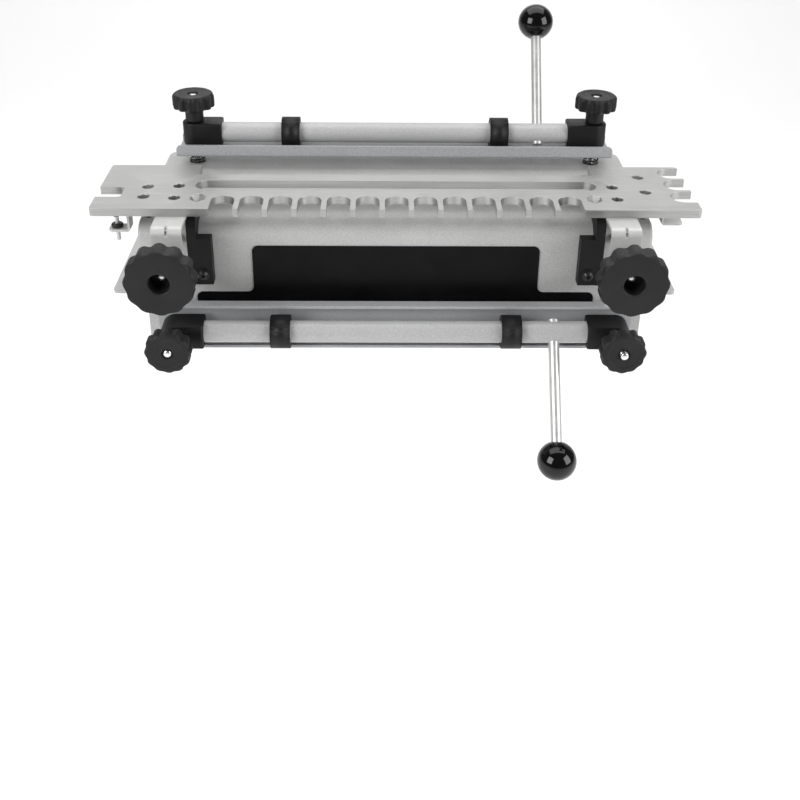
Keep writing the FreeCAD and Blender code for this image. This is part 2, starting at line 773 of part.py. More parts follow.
def build_springs(clamp):
    """Coil springs on the studs that hold the bar up against its cams."""
    panel = clamp.panel
    gap = panel - S.bar_web - clamp.preload
    members = []
    for side in (-1, 1):
        name = "%s_spring_%s" % (clamp.name, "left" if side < 0 else "right")
        path = doc.addObject("Part::Helix", name + "_path")
        bind(path, "Radius", S.spring_radius)
        rise = gap - S.spring_wire * 2 - S.running_gap * 2
        bind(path, "Pitch", rise / S.spring_turns)
        bind(path, "Height", rise)
        wire = doc.addObject("Part::Circle", name + "_wire")
        bind(wire, "Radius", S.spring_wire)
        wire.Placement = Placement(Vector(0, 0, 0), Rotation(X_AXIS, 90))
        bind(wire, "Placement.Base.x", S.spring_radius)
        doc.recompute()
        coil = doc.addObject("Part::Sweep", name)
        coil.Sections = [wire]
        coil.Spine = (path, ["Edge%d" % (i + 1) for i in range(len(path.Shape.Edges))])
        coil.Solid = True
        coil.Frenet = True
        clamp.put(coil, S.stud_x * side, S.spring_wire + S.running_gap - panel)
        members.append(coil)
    group("%s_springs" % clamp.name, members)


def build_small_knob(clamp, side):
    """Lobed clamp knob with a neck, threaded for its stud."""
    body = new_body("%s_knob_%s" % (clamp.name, "left" if side < 0 else "right"))
    bore = S.stud_radius + S.thread_fit
    profile = new_sketch(body, "XZ_Plane")
    add_loop(profile, ((bore, S.knob_start), (S.knob_neck_radius, S.knob_start),
                       (S.knob_neck_radius, S.knob_face - S.knob_rim),
                       (S.knob_back_radius, S.knob_face - S.knob_rim),
                       (S.knob_radius, S.knob_face - S.knob_rim + S.knob_back_bevel, S.knob_edge),
                       (S.knob_radius, S.knob_face - S.knob_bevel), (S.knob_face_radius, S.knob_face),
                       (bore, S.knob_face)))
    turn(body, profile)
    scallop = new_sketch(body, "XY_Plane", S.knob_face - S.knob_rim / 2)
    add_circle(scallop, S.knob_scallop_reach, ZERO, S.knob_scallop_radius)
    repeat_round(body, pocket(body, scallop, S.knob_rim * 2, symmetric=True), S.knob_lobes)
    clamp.put(body, S.stud_x * side)


def build_stud(label, end, clamp, keep=True):
    """Quarter-inch carriage bolt with its round head against the inside of the base."""
    body = new_body(label, keep)
    seat = -clamp.panel - S.steel_sheet
    profile = new_sketch(body, "XZ_Plane")
    add_loop(profile, ((ZERO, seat - S.stud_head), (S.stud_head_radius * 0.6, seat - S.stud_head),
                       (S.stud_head_radius, seat - S.stud_head / 3), (S.stud_head_radius, seat),
                       (S.stud_radius, seat), (S.stud_radius, end, S.stud_tip), (ZERO, end)))
    turn(body, profile)
    return body


TOP = Clamp("top", Rotation(), S.top_lever_angle, 1, ZERO)
TOP.panel = S.top_axis_z - S.base_top_z
FRONT = Clamp("front", OUTWARD, S.front_lever_angle, -1, S.front_preload)
FRONT.panel = S.base_front_y - S.front_axis_y


def build_clamps():
    for clamp in (TOP, FRONT):
        for side in (-1, 1):
            build_block(clamp, side)
            build_cam(clamp, side)
            build_small_knob(clamp, side)
        build_tube(clamp)
        build_lever(clamp)
        build_bar(clamp)
        build_springs(clamp)
    pair = []
    for side in (-1, 1):
        stud = build_stud("top_stud_%s" % ("left" if side < 0 else "right"), S.top_stud_end, TOP, False)
        pair.append(TOP.put(stud, S.stud_x * side))
    group("top_studs", pair)
    FRONT.put(build_stud("front_stud_left", S.front_stud_left_end, FRONT), -S.stud_x)
    FRONT.put(build_stud("front_stud_right", S.front_stud_right_end, FRONT), S.stud_x)


# ---- template ----------------------------------------------------------------------------------

def build_plate():
    """Finger template: thirteen round-ended openings, a sight slot and slotted wings."""
    body = new_body("template_plate")
    half, corner = S.plate_half_x, S.plate_corner
    top = S.plate_top_z
    right = ((half, S.plate_front_y, corner), (half, S.plate_back_y, corner),
             (S.wing_inner_x, S.plate_back_y), (S.wing_inner_x, S.web_back_y),
             (S.tab_outer_x, S.web_back_y), (S.tab_outer_x, S.tab_back_y),
             (S.tab_inner_x, S.tab_back_y), (S.tab_inner_x, S.web_back_y))
    left = tuple((-point[0],) + point[1:] for point in reversed(right))
    outline = new_sketch(body, "XY_Plane", top)
    add_loop(outline, right + left)
    pad(body, outline, S.plate, backward=True)

    finger = new_sketch(body, "XY_Plane", top)
    first_x = -S.finger_pitch * (S.finger_openings - 1) / 2
    add_loop(finger, ((first_x - S.finger_radius, S.plate_front_y - 5),
                      (first_x + S.finger_radius, S.plate_front_y - 5),
                      (first_x + S.finger_radius, S.finger_end_y, S.finger_radius - 0.01),
                      (first_x - S.finger_radius, S.finger_end_y, S.finger_radius - 0.01)))
    first = pocket(body, finger, S.plate * 4, symmetric=True)
    row = body.newObject("PartDesign::LinearPattern", "finger_openings")
    row.Originals = [first]
    x_axis = next(f for f in body.Origin.OriginFeatures if f.Role == "X_Axis")
    row.Direction = (x_axis, [""])
    bind(row, "Length", S.finger_pitch * (S.finger_openings - 1))
    bind(row, "Occurrences", S.finger_openings)
    body.Tip = row
    doc.recompute()

    cuts = new_sketch(body, "XY_Plane", top)
    sight_radius = (S.sight_back_y - S.sight_front_y) / 2
    add_stadium(cuts, ZERO, S.sight_front_y + sight_radius, S.sight_half_x - sight_radius,
                sight_radius)
    beyond = half + 5
    add_loop(cuts, ((-beyond, S.left_slot_front_y), (S.left_slot_x, S.left_slot_front_y, corner),
                    (S.left_slot_x, S.left_slot_back_y, corner), (-beyond, S.left_slot_back_y)))
    for step in range(3):
        middle = S.right_slot_front_y + S.right_slot_pitch * step
        radius = S.right_slot_radius
        add_loop(cuts, ((beyond, middle - radius), (S.right_slot_x, middle - radius, radius - 0.01),
                        (S.right_slot_x, middle + radius, radius - 0.01), (beyond, middle + radius)))
    pocket(body, cuts, S.plate * 4, symmetric=True)

    holes = new_sketch(body, "XY_Plane", top)
    for x, y in PLATE_HOLES:
        add_circle(holes, x, y, S.plate_hole_radius)
    pocket(body, holes, S.plate * 4, symmetric=True)
    dress(body, "Chamfer", S.plate_hole_sink,
          lambda e, m: near(m.z, top) and e.Curve.TypeId == "Part::GeomCircle"
          and near(e.Curve.Radius, S.plate_hole_radius))

    for side in (-1, 1):
        mouth = new_sketch(body, "XY_Plane", top)
        add_diamond(mouth, S.sink_x * side, S.sink_half_x, S.sink_half_y)
        floor = new_sketch(body, "XY_Plane", top - S.plate)
        add_diamond(floor, S.sink_x * side, S.sink_half_x * S.sink_floor, S.sink_half_y * S.sink_floor)
        sink = body.newObject("PartDesign::SubtractiveLoft", "sink")
        sink.Profile = mouth
        sink.Sections = [floor]
        sink.Ruled = True
        doc.recompute()

    lines = new_sketch(body, "XY_Plane", top)
    for side, y in ((-1, S.left_scribe_y), (1, S.right_scribe_y)):
        root, end = (S.wing_inner_x + S.scribe_root) * side, (half - 1) * side
        add_loop(lines, ((root, y), (end, y), (end, y + S.scribe_width), (root, y + S.scribe_width)))
    pocket(body, lines, S.scribe_depth)


def add_diamond(sketch, x, half_x, half_y):
    """The long six-sided mouth of the wing's countersunk hole."""
    y = S.sink_y
    add_loop(sketch, ((x - half_x, y - half_y * 0.45), (x, y - half_y), (x + half_x, y - half_y * 0.45),
                      (x + half_x, y + half_y * 0.45), (x, y + half_y), (x - half_x, y + half_y * 0.45)))


PLATE_HOLES = (
    (S.left_hole_x, S.left_hole_back_y),
    (-S.bracket_x, S.bracket_screw_back_y),
    (S.left_hole_x, S.left_hole_front_y),
    (-S.bracket_x, S.bracket_screw_front_y),
    (S.right_hole_x, S.right_hole_back_y),
    (S.bracket_x, S.bracket_screw_back_y),
    (S.right_hole_x, S.right_hole_front_y),
    (S.bracket_x, S.bracket_screw_front_y),
)


def build_bracket(label, side):
    """Template bracket: a strip folded down at the front into an open fork, with a stiffening dimple."""
    body = new_body(label)
    under = S.plate_top_z - S.plate
    outside, wall = S.bracket_bend, S.bracket_sheet
    profile = new_sketch(body, "YZ_Plane")
    add_loop(profile, ((S.bracket_back_y, under), (S.bracket_front_y, under, outside),
                       (S.bracket_front_y, S.bracket_tip_z), (S.bracket_front_y + wall, S.bracket_tip_z),
                       (S.bracket_front_y + wall, under - wall, outside - wall),
                       (S.bracket_back_y, under - wall)))
    pad(body, profile, S.bracket_half_width * 2, symmetric=True)
    fork = new_sketch(body, "XZ_Plane", -S.bracket_front_y)
    add_loop(fork, ((-S.fork_half, S.bracket_tip_z - 5), (S.fork_half, S.bracket_tip_z - 5),
                    (S.fork_half, S.fork_top_z + S.fork_half, S.fork_half - 0.01),
                    (-S.fork_half, S.fork_top_z + S.fork_half, S.fork_half - 0.01)))
    pocket(body, fork, wall * 4, symmetric=True)
    dress(body, "Fillet", (S.bracket_half_width - S.fork_half) * 0.5 - 0.1,
          lambda e, m: straight(e, Y_AXIS) and near(m.z, S.bracket_tip_z))
    dent = new_sketch(body, "YZ_Plane")
    outer_y, leg = S.bracket_front_y, S.dimple_leg
    add_loop(dent, ((outer_y - 1, under + 1), (outer_y + leg, under + 1), (outer_y - 1, under - leg)))
    pocket(body, dent, S.dimple_half * 0.8, symmetric=True)
    rib = new_sketch(body, "YZ_Plane")
    inner_y, inner_z, overlap = outer_y + wall, under - wall, S.dimple_overlap
    add_loop(rib, ((inner_y - overlap, inner_z + overlap), (inner_y + leg, inner_z + overlap),
                   (inner_y - overlap, inner_z - leg)))
    pad(body, rib, S.dimple_half * 2, symmetric=True)
    holes = new_sketch(body, "XY_Plane", under)
    for y in (S.bracket_screw_front_y, S.bracket_screw_back_y):
        add_circle(holes, ZERO, y, S.bracket_screw_radius)
    pocket(body, holes, wall * 4, symmetric=True)
    place(body, S.bracket_x * side)


def build_bracket_screws():
    """Screws that come up through the brackets into the template."""
    under = S.plate_top_z - S.plate
    seat = under - S.bracket_sheet
    members = []
    for side in (-1, 1):
        for place_name, y in (("front", S.bracket_screw_front_y), ("back", S.bracket_screw_back_y)):
            name = "bracket_screw_%s_%s" % (place_name, "left" if side < 0 else "right")
            screw = new_body(name, keep=False)
            profile = new_sketch(screw, "XZ_Plane")
            head, foot = S.bracket_screw_head, seat - S.bracket_screw_height
            add_loop(profile, ((ZERO, foot), (head * 0.6, foot),
                               (head, seat - S.bracket_screw_rim), (head, seat),
                               (S.bracket_screw_radius, seat),
                               (S.bracket_screw_radius, under + S.bracket_screw_tip),
                               (ZERO, under + S.bracket_screw_tip)))
            turn(screw, profile)
            place(screw, S.bracket_x * side, y)
            members.append(screw)
    group("bracket_screws", members)


def build_template_studs():
    """Threaded studs fixed in the front panel, and the nuts the brackets are set against."""
    studs = []
    nuts = []
    for side, word in ((-1, "left"), (1, "right")):
        stud = new_body("template_stud_%s" % word, keep=False)
        profile = new_sketch(stud, "XZ_Plane")
        add_loop(profile, ((ZERO, -S.template_stud_inner_y), (S.stud_radius, -S.template_stud_inner_y),
                           (S.stud_radius, -S.template_stud_end_y, S.stud_tip),
                           (ZERO, -S.template_stud_end_y)))
        turn(stud, profile)
        place(stud, S.bracket_x * side, None, S.template_stud_z, OUTWARD)
        studs.append(stud)
        nut = new_body("template_nut_%s" % word, keep=False)
        face = new_sketch(nut, "XY_Plane", -S.bracket_front_y - S.bracket_sheet - S.running_gap)
        add_hexagon(face, ZERO, ZERO, S.stop_nut_radius)
        add_circle(face, ZERO, ZERO, S.stud_radius + S.thread_fit)
        pad(nut, face, S.stop_nut, backward=True)
        place(nut, S.bracket_x * side, None, S.template_stud_z, OUTWARD)
        nuts.append(nut)
    group("template_studs", studs)
    group("template_stop_nuts", nuts)


def build_large_knob(label, side):
    """Large lobed knob with a deep centre bore that shows the stud's end."""
    body = new_body(label)
    bore = S.stud_radius + S.thread_fit
    rim = S.wheel_front - S.wheel_rim
    profile = new_sketch(body, "XZ_Plane")
    add_loop(profile, ((bore, S.running_gap), (S.wheel_hub_radius, S.running_gap),
                       (S.wheel_hub_radius, rim, S.wheel_edge), (S.wheel_radius, rim, S.wheel_edge),
                       (S.wheel_radius, S.wheel_front - S.knob_bevel), (S.wheel_face_radius, S.wheel_front),
                       (S.wheel_bore_radius, S.wheel_front),
                       (S.wheel_bore_radius, S.wheel_front - S.wheel_bore),
                       (bore, S.wheel_front - S.wheel_bore)))
    turn(body, profile)
    scallop = new_sketch(body, "XY_Plane", S.wheel_front - S.wheel_rim / 2)
    add_circle(scallop, S.wheel_scallop_reach, ZERO, S.wheel_scallop_radius)
    repeat_round(body, pocket(body, scallop, S.wheel_rim * 2, symmetric=True), S.wheel_lobes)
    place(body, S.bracket_x * side, S.bracket_front_y, S.template_stud_z, OUTWARD)


# ---- gauges ------------------------------------------------------------------------------------

def build_gauge_bracket(label, side, floor):
    """Folded clip under a wing: fixed leg, drop, and an outer leg beyond the template's feet."""
    body = new_body(label)
    under = S.plate_top_z - S.plate
    wall = S.gauge_sheet
    profile = new_sketch(body, "XZ_Plane", -S.gauge_y)
    root, drop, end = S.gauge_root_x * side, S.gauge_drop_x * side, S.gauge_end_x * side
    inner_drop = (S.gauge_drop_x - S.gauge_sheet) * side
    outside, inside = S.gauge_outer_bend, S.gauge_inner_bend
    add_loop(profile, ((root, under), (drop, under, outside), (drop, floor + wall, inside),
                       (end, floor + wall), (end, floor), (inner_drop, floor, outside),
                       (inner_drop, under - wall, inside), (root, under - wall)))
    pad(body, profile, S.gauge_half_width * 2, symmetric=True)
    dress(body, "Fillet", S.gauge_sheet * 1.6,
          lambda e, m: straight(e, Z_AXIS) and near(abs(m.x), S.gauge_end_x))
    holes = new_sketch(body, "XY_Plane", under)
    add_circle(holes, S.gauge_fix_x * side, S.gauge_y, S.gauge_fix_radius)
    if side < 0:
        add_circle(holes, S.gauge_screw_x, S.gauge_y, S.gauge_pin_radius + S.thread_fit)
    pocket(body, holes, S.plate_top_z, symmetric=True)


def build_gauge_parts():
    """The cone-headed gauge screw, its lock nut, and the screws that hold the clips."""
    screw = new_body("gauge_screw")
    profile = new_sketch(screw, "XZ_Plane")
    pin, head = S.gauge_pin_radius, S.gauge_head_radius
    top, low = S.gauge_head_top_z, S.gauge_head_low_z
    add_loop(profile, ((ZERO, S.gauge_pin_z), (pin, S.gauge_pin_z, S.gauge_tip), (pin, low),
                       (pin * 1.6, low), (head, top - S.gauge_head_rim), (head, top), (ZERO, top)))
    turn(screw, profile)
    place(screw, S.gauge_screw_x, S.gauge_y)

    nut = new_body("gauge_lock_nut")
    seat = S.left_gauge_z + S.gauge_sheet
    ring = new_sketch(nut, "XY_Plane", seat)
    add_circle(ring, ZERO, ZERO, S.gauge_nut_radius)
    add_circle(ring, ZERO, ZERO, pin + S.thread_fit)
    pad(nut, ring, S.gauge_nut)
    dress(nut, "Chamfer", S.gauge_nut_edge,
          lambda e, m: e.Curve.TypeId == "Part::GeomCircle" and near(e.Curve.Radius, S.gauge_nut_radius))
    place(nut, S.gauge_screw_x, S.gauge_y)

    fix_screw = new_body("gauge_clip_screw", keep=False)
    under = S.plate_top_z - S.plate - S.gauge_sheet
    outline = new_sketch(fix_screw, "XZ_Plane")
    tip, radius = under - S.gauge_fix_tip, S.gauge_fix_radius
    add_loop(outline, ((ZERO, tip), (radius, tip), (radius, under - S.gauge_fix_crown),
                       (S.gauge_fix_head, under - S.gauge_fix_rim), (S.gauge_fix_head, under),
                       (radius, under), (radius, under + S.gauge_sheet),
                       (ZERO, under + S.gauge_sheet)))
    turn(fix_screw, outline)
    place(fix_screw, S.gauge_fix_x, S.gauge_y)
    group("gauge_clip_screws", [fix_screw, mirror_across_x(fix_screw, "gauge_clip_screw_other")])


# ---- build and write ---------------------------------------------------------------------------

build_base()
build_label()
build_stop("stop_left", -1)
build_stop("stop_right", 1)
build_stop_screws()
build_clamps()
build_plate()
build_bracket("template_bracket_left", -1)
build_bracket("template_bracket_right", 1)
build_bracket_screws()
build_template_studs()
build_large_knob("template_knob_left", -1)
build_large_knob("template_knob_right", 1)
build_gauge_bracket("gauge_clip_left", -1, S.left_gauge_z)
build_gauge_bracket("gauge_clip_right", 1, S.right_gauge_z)
build_gauge_parts()
doc.recompute()

for obj in doc.Objects:
    if "Invalid" in obj.State or "Error" in obj.State:
        raise RuntimeError("%s did not build: %s" % (obj.Label, obj.State))

for label, obj in nodes.items():
    shape = obj.Shape
    if shape.isNull() or not shape.isValid() or not shape.Solids:
        raise RuntimeError("%s has no valid solid" % label)
    shape.exportStep("parts/%s.step" % label)
    print("%-26s solids %d  volume %.1f" % (label, len(shape.Solids), shape.Volume))
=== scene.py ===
import json
import math

import bmesh
import bpy
from mathutils import Matrix, Vector

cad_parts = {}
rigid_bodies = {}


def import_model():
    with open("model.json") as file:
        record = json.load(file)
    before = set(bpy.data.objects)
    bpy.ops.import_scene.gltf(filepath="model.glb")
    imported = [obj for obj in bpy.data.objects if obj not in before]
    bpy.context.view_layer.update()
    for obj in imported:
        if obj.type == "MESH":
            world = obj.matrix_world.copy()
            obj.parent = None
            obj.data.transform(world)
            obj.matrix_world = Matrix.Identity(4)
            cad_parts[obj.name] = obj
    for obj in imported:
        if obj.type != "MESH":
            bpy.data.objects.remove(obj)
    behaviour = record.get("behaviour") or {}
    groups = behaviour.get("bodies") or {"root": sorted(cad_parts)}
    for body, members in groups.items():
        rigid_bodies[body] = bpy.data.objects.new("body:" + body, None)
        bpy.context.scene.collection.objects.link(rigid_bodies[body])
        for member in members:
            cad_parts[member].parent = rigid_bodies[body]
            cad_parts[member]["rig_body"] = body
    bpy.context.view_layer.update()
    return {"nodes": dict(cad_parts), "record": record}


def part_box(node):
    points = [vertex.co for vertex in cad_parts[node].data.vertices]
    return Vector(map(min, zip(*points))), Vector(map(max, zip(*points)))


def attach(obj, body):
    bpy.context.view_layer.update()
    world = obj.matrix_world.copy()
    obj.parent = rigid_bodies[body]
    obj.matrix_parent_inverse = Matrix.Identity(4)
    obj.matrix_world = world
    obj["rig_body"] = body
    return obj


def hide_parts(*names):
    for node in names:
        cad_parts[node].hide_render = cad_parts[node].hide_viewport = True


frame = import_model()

MM = 0.001
SCENE = bpy.context.scene

NOISE_MIDDLE = (0.35, 0.65)
COLOUR_A, COLOUR_B, COLOUR_RESULT = 6, 7, 2


# ---- materials ---------------------------------------------------------------------------------

class Shader:
    """A Principled material and the procedural textures that drive it."""

    def __init__(self, name, colour, roughness, metallic=0.0, coat=0.0, coat_roughness=0.1, specular=0.5):
        self.material = bpy.data.materials.new(name)
        self.material.use_nodes = True
        self.nodes = self.material.node_tree.nodes
        self.links = self.material.node_tree.links
        self.surface = self.nodes["Principled BSDF"]
        self.colour = colour
        self.surface.inputs["Base Color"].default_value = (*colour, 1.0)
        self.surface.inputs["Roughness"].default_value = roughness
        self.surface.inputs["Metallic"].default_value = metallic
        self.surface.inputs["Coat Weight"].default_value = coat
        self.surface.inputs["Coat Roughness"].default_value = coat_roughness
        self.surface.inputs["Specular IOR Level"].default_value = specular
        self.place = self.nodes.new("ShaderNodeTexCoord")

    def noise(self, scale, stretch=(1.0, 1.0, 1.0), detail=3.0):
        mapping = self.nodes.new("ShaderNodeMapping")
        mapping.inputs["Scale"].default_value = stretch
        self.links.new(self.place.outputs["Object"], mapping.inputs["Vector"])
        texture = self.nodes.new("ShaderNodeTexNoise")
        texture.inputs["Scale"].default_value = scale
        texture.inputs["Detail"].default_value = detail
        texture.inputs["Roughness"].default_value = 0.55
        self.links.new(mapping.outputs["Vector"], texture.inputs["Vector"])
        return texture.outputs["Fac"]

    def spread(self, source, low, high):
        """Stretches the middle of a noise over low to high."""
        node = self.nodes.new("ShaderNodeMapRange")
        node.inputs["From Min"].default_value = NOISE_MIDDLE[0]
        node.inputs["From Max"].default_value = NOISE_MIDDLE[1]
        node.inputs["To Min"].default_value = low
        node.inputs["To Max"].default_value = high
        self.links.new(source, node.inputs["Value"])
        return node.outputs["Result"]

    def tone(self, source, dark, light):
        """Mixes two shades of the base colour, and stacks on any earlier mix."""
        node = self.nodes.new("ShaderNodeMix")
        node.data_type = "RGBA"
        node.blend_type = "MULTIPLY"
        node.inputs["Factor"].default_value = 1.0
        ramp = self.nodes.new("ShaderNodeMix")
        ramp.data_type = "RGBA"
        ramp.inputs[COLOUR_A].default_value = (dark, dark, dark, 1.0)
        ramp.inputs[COLOUR_B].default_value = (light, light, light, 1.0)
        self.links.new(self.spread(source, 0.0, 1.0), ramp.inputs["Factor"])
        base = self.surface.inputs["Base Color"]
        if base.is_linked:
            self.links.new(base.links[0].from_socket, node.inputs[COLOUR_A])
        else:
            node.inputs[COLOUR_A].default_value = (*self.colour, 1.0)
        self.links.new(ramp.outputs[COLOUR_RESULT], node.inputs[COLOUR_B])
        self.links.new(node.outputs[COLOUR_RESULT], base)

    def rough(self, source, low, high):
        self.links.new(self.spread(source, low, high), self.surface.inputs["Roughness"])

    def bump(self, source, height, strength):
        node = self.nodes.new("ShaderNodeBump")
        node.inputs["Distance"].default_value = height
        node.inputs["Strength"].default_value = strength
        self.links.new(source, node.inputs["Height"])
        self.links.new(node.outputs["Normal"], self.surface.inputs["Normal"])


def speckled_paint(name, colour, roughness):
    """Powder coat: fine orange peel, metallic speckle and slow clouding."""
    s = Shader(name, colour, roughness, coat=0.12, coat_roughness=0.35)
    s.tone(s.noise(scale=1400, detail=2.0), dark=0.86, light=1.14)
    s.tone(s.noise(scale=14, detail=3.0), dark=0.96, light=1.03)
    s.rough(s.noise(scale=60), low=roughness - 0.05, high=roughness + 0.06)
    s.bump(s.noise(scale=1500, detail=2.0), height=0.00004, strength=0.5)
    return s.material


def machined(name, colour, roughness, along, metallic):
    """Milled metal: long tool lines, a faint cross haze and soft smudges."""
    s = Shader(name, colour, roughness, metallic=metallic)
    stretch = tuple(0.02 if axis in along else 1.0 for axis in "xyz")
    s.tone(s.noise(scale=1400, stretch=stretch, detail=4.0), dark=0.90, light=1.05)
    s.tone(s.noise(scale=18, detail=4.0), dark=0.94, light=1.03)
    s.rough(s.noise(scale=700, stretch=stretch, detail=3.0), low=roughness - 0.05, high=roughness + 0.08)
    s.bump(s.noise(scale=1700, stretch=stretch, detail=3.0), height=0.000012, strength=0.5)
    return s.material


def tumbled(name, colour, roughness, metallic):
    """Plated or drawn steel with no direction to its grain: fine sparkle and faint handling marks."""
    s = Shader(name, colour, roughness, metallic=metallic)
    s.tone(s.noise(scale=1900, detail=3.0), dark=0.93, light=1.05)
    s.tone(s.noise(scale=40, detail=5.0), dark=0.95, light=1.03)
    s.rough(s.noise(scale=120, detail=4.0), low=roughness - 0.05, high=roughness + 0.07)
    s.bump(s.noise(scale=1500, detail=2.0), height=0.000008, strength=0.5)
    return s.material


def moulded(name, colour, roughness, grain=900, height=0.00003, coat=0.0, specular=0.28):
    """Moulded plastic: a fine grain, slight shine changes and handling marks."""
    s = Shader(name, colour, roughness, coat=coat, coat_roughness=0.08, specular=specular)
    s.tone(s.noise(scale=30, detail=4.0), dark=0.80, light=1.25)
    s.rough(s.noise(scale=45, detail=5.0), low=roughness - 0.06, high=roughness + 0.08)
    s.bump(s.noise(scale=grain, detail=2.0), height=height, strength=0.6)
    return s.material


MATERIALS = {
    "base_paint": speckled_paint("base_paint", (0.42, 0.42, 0.415), roughness=0.46),
    "bar_paint": speckled_paint("bar_paint", (0.335, 0.34, 0.35), roughness=0.40),
    "tube_paint": speckled_paint("tube_paint", (0.40, 0.40, 0.40), roughness=0.36),
    "label_black": moulded("label_black", (0.003, 0.003, 0.0035), roughness=0.38,
                           grain=1600, height=0.000008, specular=0.12),
    "black_plastic": moulded("black_plastic", (0.005, 0.005, 0.0055), roughness=0.50),
    "knob_black": moulded("knob_black", (0.010, 0.010, 0.0105), roughness=0.50, grain=1300),
    "ball_black": moulded("ball_black", (0.002, 0.002, 0.0025), roughness=0.06,
                          grain=300, height=0.000002, coat=0.45, specular=0.15),
    "machined_aluminium": machined("machined_aluminium", (0.46, 0.46, 0.45), roughness=0.33,
                                   along="x", metallic=0.85),
    "bracket_aluminium": tumbled("bracket_aluminium", (0.50, 0.50, 0.49), roughness=0.46, metallic=0.30),
    "bright_steel": tumbled("bright_steel", (0.60, 0.60, 0.59), roughness=0.36, metallic=0.60),
    "zinc_steel": tumbled("zinc_steel", (0.78, 0.78, 0.77), roughness=0.22, metallic=1.0),
    "black_steel": tumbled("black_steel", (0.018, 0.018, 0.019), roughness=0.34, metallic=0.4),
    "spring_black": tumbled("spring_black", (0.030, 0.030, 0.033), roughness=0.30, metallic=0.6),
}
SLOT_OF = {part["node"]: part["material_slot"] for part in frame["record"]["subparts"]}


# ---- pieces ------------------------------------------------------------------------------------

def centre(node):
    low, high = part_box(node)
    return (Vector(low) + Vector(high)) / 2


def settle(obj, node):
    """Hands a finished piece to the frame in place of one CAD node."""
    slot = SLOT_OF[node]
    obj.data.materials.clear()
    obj.data.materials.append(MATERIALS[slot])
    SCENE.collection.objects.link(obj)
    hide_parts(node)
    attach(obj, frame["nodes"][node]["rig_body"])


def smooth(mesh, degrees):
    """Smooth shading, kept sharp where two faces meet at more than the angle."""
    for polygon in mesh.polygons:
        polygon.use_smooth = True
    mesh.set_sharp_from_angle(angle=math.radians(degrees))


def from_bmesh(name, bm, degrees):
    """An object with the mesh, its faces turned outward, smooth below the angle."""
    bmesh.ops.recalc_face_normals(bm, faces=bm.faces)
    mesh = bpy.data.meshes.new(name)
    bm.to_mesh(mesh)
    bm.free()
    smooth(mesh, degrees)
    return bpy.data.objects.new(name, mesh)


EDGE_DEGREES = 30
FLAT_DEGREES = 0.3
WELD = 2e-6


def eased(node, width):
    """The node's own solid with its sharp edges broken, as every real edge is."""
    bm = bmesh.new()
    bm.from_mesh(frame["nodes"][node].data)
    bmesh.ops.remove_doubles(bm, verts=bm.verts, dist=WELD)
    bmesh.ops.dissolve_limit(bm, angle_limit=math.radians(FLAT_DEGREES), verts=bm.verts, edges=bm.edges)
    obj = from_bmesh("vis_" + node, bm, EDGE_DEGREES)
    bevel = obj.modifiers.new("edges", "BEVEL")
    bevel.width = width * MM
    bevel.segments = 2
    bevel.limit_method = "ANGLE"
    bevel.angle_limit = math.radians(EDGE_DEGREES)
    bevel.harden_normals = True
    bevel.use_clamp_overlap = True
    settle(obj, node)


def two_tone(node, other, level):
    """Gives the part of an eased piece above a height another finish."""
    mesh = bpy.data.objects["vis_" + node].data
    mesh.materials.append(MATERIALS[other])
    for polygon in mesh.polygons:
        if polygon.center.z > level:
            polygon.material_index = 1


def ring(radius, height, around):
    """One row of points round Z."""
    row = []
    for k in range(around):
        angle = 2 * math.pi * k / around
        row.append(Vector((radius * math.cos(angle), radius * math.sin(angle), height)))
    return row


STEPS_PER_LOBE = 16
LOBE_SHARPNESS = 1.5


def lobed_ring(radius, height, weight, lobes, depth):
    """A row of points round Z that dips between lobes.  weight is how much of the depth this row takes."""
    around = lobes * STEPS_PER_LOBE
    row = []
    for k in range(around):
        angle = 2 * math.pi * k / around
        valley = (0.5 - 0.5 * math.cos(lobes * angle)) ** LOBE_SHARPNESS
        r = radius - weight * depth * valley
        row.append(Vector((r * math.cos(angle), r * math.sin(angle), height)))
    return row


def skin(bm, rows):
    """Joins rows of points into a tube and closes its ends."""
    made = tube(bm, rows)
    bm.faces.new(made[0])
    bm.faces.new(list(reversed(made[-1])))


def tube(bm, rows):
    """Joins rows of points into a tube with open ends."""
    made = [[bm.verts.new(point) for point in row] for row in rows]
    around = len(made[0])
    for low, high in zip(made, made[1:]):
        for k in range(around):
            n = (k + 1) % around
            bm.faces.new((low[k], low[n], high[n], high[k]))
    return made


CORNER_STEPS = 5
CORNER_SHARE = 0.49


def rounded(points):
    """A lathe outline with its marked corners rounded.  A point is (radius, height, weight, corner)."""
    path = []
    for i, (r, z, w, corner) in enumerate(points):
        if not corner or i in (0, len(points) - 1):
            path.append((r, z, w))
            continue
        here = Vector((r, z))
        before = Vector(points[i - 1][:2]) - here
        after = Vector(points[i + 1][:2]) - here
        cut = min(corner, before.length * CORNER_SHARE, after.length * CORNER_SHARE)
        a, b = here + before.normalized() * cut, here + after.normalized() * cut
        for k in range(CORNER_STEPS + 1):
            t = k / CORNER_STEPS
            p = a * (1 - t) ** 2 + here * 2 * t * (1 - t) + b * t ** 2
            path.append((p.x, p.y, w))
    return path


def in_millimetres(rows, matrix):
    """Turns rows of points in mm into the frame's metres, and stands them where the matrix says."""
    return [[matrix @ (point * MM) for point in row] for row in rows]


def aim(direction, origin):
    """A matrix that stands local +Z along direction at origin."""
    turn = Vector(direction).normalized().to_track_quat("Z", "Y").to_matrix().to_4x4()
    return Matrix.Translation(origin) @ turn


